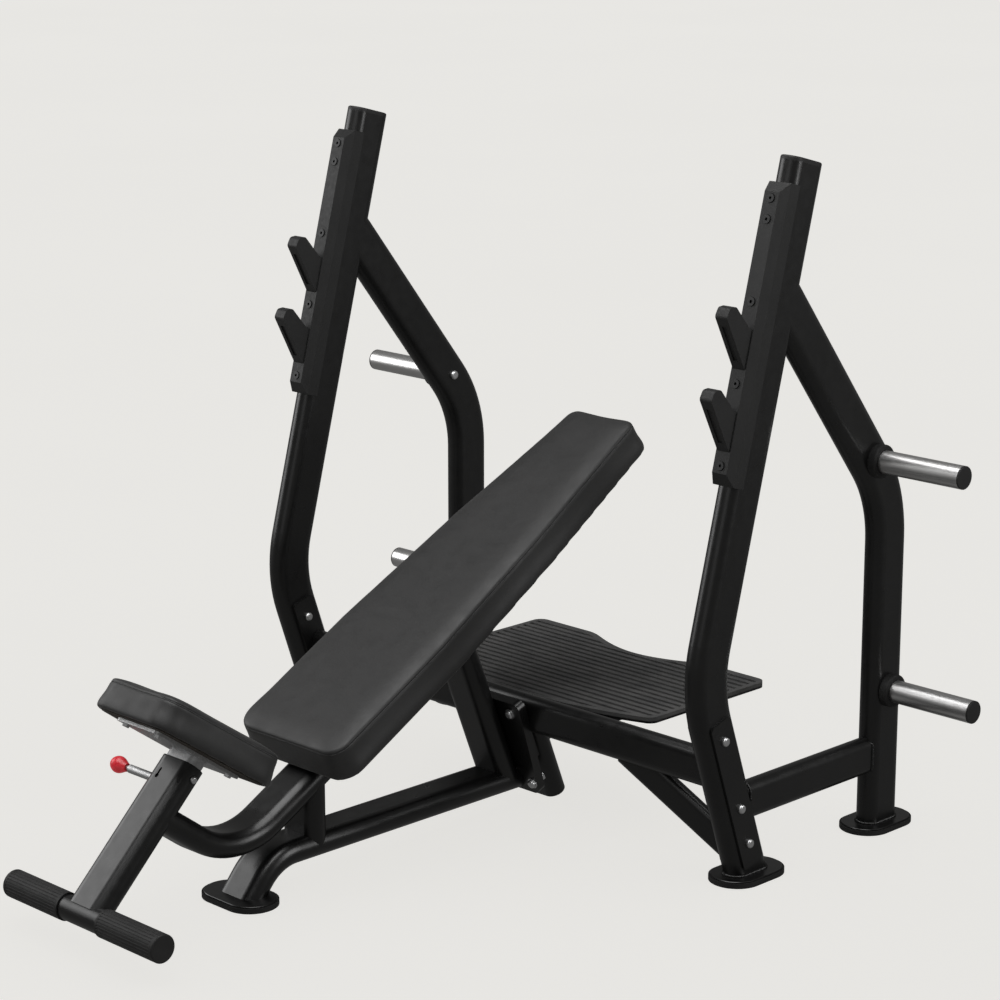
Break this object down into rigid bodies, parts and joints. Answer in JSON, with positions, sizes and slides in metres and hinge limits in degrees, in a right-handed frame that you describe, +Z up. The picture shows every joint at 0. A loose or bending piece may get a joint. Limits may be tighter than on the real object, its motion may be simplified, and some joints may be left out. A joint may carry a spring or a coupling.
{
  "type": "olympic incline bench press",
  "caption": "Incline bench with a tapered back pad, sliding seat with pull pin, bar hooks on two bent uprights, plate horns and a ribbed spotter platform.",
  "frame": {"origin": "centre of the bounding box footprint, at floor level", "axes": "+X across the bench to the right upright, +Y from the foot bar to the rear posts, +Z up"},
  "size_m": [1.722, 1.7184, 1.4485],
  "materials": {
    "frame_coat": "semi-gloss black powder coat",
    "black_plastic": "matte moulded",
    "collar_rubber": "matte",
    "foot_rubber": "matte",
    "grip_rubber": "matte, fluted",
    "mat_rubber": "matte, ribbed",
    "horn_steel": "brushed, plated",
    "bolt_steel": "zinc plated",
    "guard_screw": "blackened",
    "zinc": "zinc plated",
    "plywood": "black stained",
    "vinyl": "smooth matte vinyl",
    "knob_red": "moulded"
  },
  "bodies": {
    "frame": {"back_board": "plywood", "back_cross_plates": "frame_coat", "back_pad": "vinyl", "back_screws": "bolt_steel", "back_support_tube": "frame_coat", "base_foot_plate": "frame_coat", "base_foot_rubber": "foot_rubber", "base_tube": "frame_coat", "beam_mount": "frame_coat", "bench_mount_plate": "frame_coat", "bench_rear_post": "frame_coat", "centre_leg": "frame_coat", "centre_strut": "frame_coat", "clamp_bolts": "bolt_steel", "clamp_plates": "frame_coat", "crossbeam": "frame_coat", "foot_bar": "frame_coat", "foot_grips": "grip_rubber", "front_post": "frame_coat", "guard_bolts": "guard_screw", "horn_bolts": "bolt_steel", "horn_caps": "black_plastic", "horn_collars": "collar_rubber", "left_bar_hooks": "black_plastic", "left_brace": "frame_coat", "left_foot_plates": "frame_coat", "left_foot_rubbers": "foot_rubber", "left_hook_guard": "black_plastic", "left_lower_horn": "horn_steel", "left_rear_post": "frame_coat", "left_side_tube": "frame_coat", "left_upper_horn": "horn_steel", "left_upright": "frame_coat", "mount_bolts": "bolt_steel", "pin_barrel": "zinc", "pin_spring": "bolt_steel", "platform_arms": "frame_coat", "platform_mat": "mat_rubber", "platform_plate": "frame_coat", "right_bar_hooks": "black_plastic", "right_brace": "frame_coat", "right_foot_plates": "frame_coat", "right_foot_rubbers": "foot_rubber", "right_hook_guard": "black_plastic", "right_lower_horn": "horn_steel", "right_rear_post": "frame_coat", "right_side_tube": "frame_coat", "right_upper_horn": "horn_steel", "right_upright": "frame_coat", "seat_post_bushing": "black_plastic", "seat_post_tube": "frame_coat", "set_screw": "bolt_steel", "upright_caps": "black_plastic"},
    "seat": {"seat_inner_post": "zinc", "seat_plate": "zinc", "seat_screws": "bolt_steel", "seat_board": "plywood", "seat_pad": "vinyl"},
    "pin": {"pin_plunger": "bolt_steel", "pin_knob": "knob_red"}
  },
  "joints": [
    {"name": "seat_height", "type": "slide", "parent": "frame", "child": "seat", "axis": [0, 0.7041, 0.7101], "range_m": [0, 0.12]},
    {"name": "pin_pull", "type": "slide", "parent": "frame", "child": "pin", "axis": [-1, 0, 0], "range_m": [-0.008, 0], "stiffness_N_per_m": 300, "springref_m": -0.008, "deforming": ["pin_spring"]}
  ]
}
